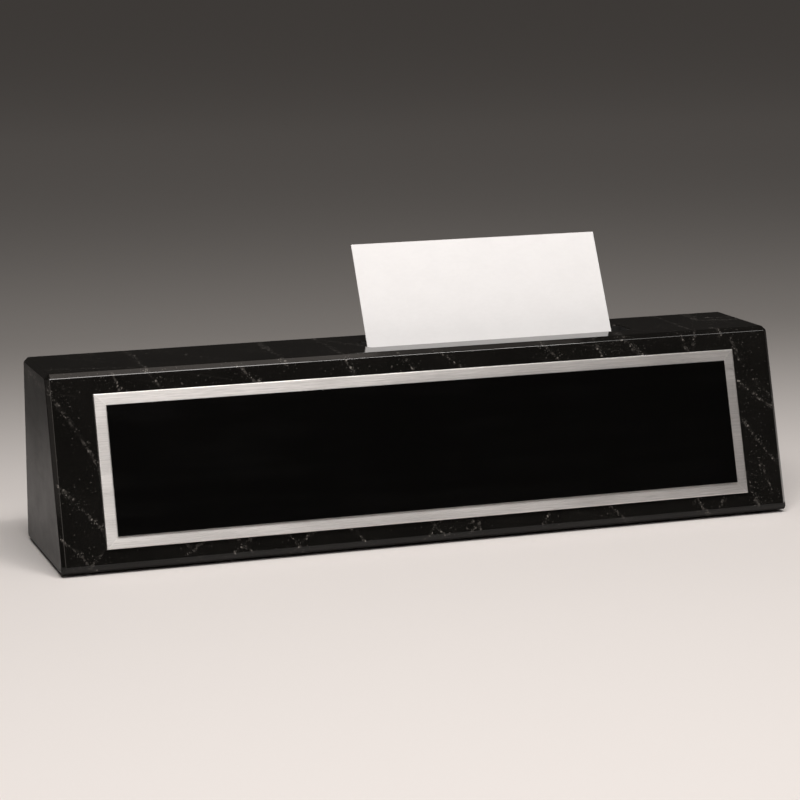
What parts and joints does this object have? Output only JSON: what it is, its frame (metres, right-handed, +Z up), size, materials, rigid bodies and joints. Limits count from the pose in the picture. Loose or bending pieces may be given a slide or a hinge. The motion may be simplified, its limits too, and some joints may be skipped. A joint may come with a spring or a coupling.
{
  "type": "desk name plate",
  "caption": "Polished black marble desk block with a silver-bordered blank name plate on its sloping front and a slanted slot in its top that holds business cards.",
  "frame": {"origin": "on the desk, under the middle of the block's base", "axes": "+X along the block to the reader's right, +Y to the back, +Z up"},
  "size_m": [0.252, 0.0591, 0.0934],
  "materials": {
    "black_marble": "polished, fine grey veins",
    "brushed_silver": "brushed lengthwise, rounded edge",
    "black_lacquer": "satin black lacquer, left blank",
    "adhesive_tape": "thin double-sided film",
    "black_felt": "pressed felt",
    "card_stock": "smooth uncoated card, blank"
  },
  "bodies": {
    "block": {"marble_block": "black_marble", "silver_plate": "brushed_silver", "silver_plate_tape": "adhesive_tape", "name_plate": "black_lacquer", "name_plate_tape": "adhesive_tape", "felt_pad_front_left": "black_felt", "pad_adhesive_front_left": "adhesive_tape", "felt_pad_front_right": "black_felt", "pad_adhesive_front_right": "adhesive_tape", "felt_pad_rear_left": "black_felt", "pad_adhesive_rear_left": "adhesive_tape", "felt_pad_rear_right": "black_felt", "pad_adhesive_rear_right": "adhesive_tape"},
    "card": {"business_card": "card_stock"}
  },
  "joints": [
    {"name": "card_lift", "type": "slide", "parent": "block", "child": "card", "axis": [0, 0.454, 0.891], "range_m": [0, 0.045]}
  ]
}
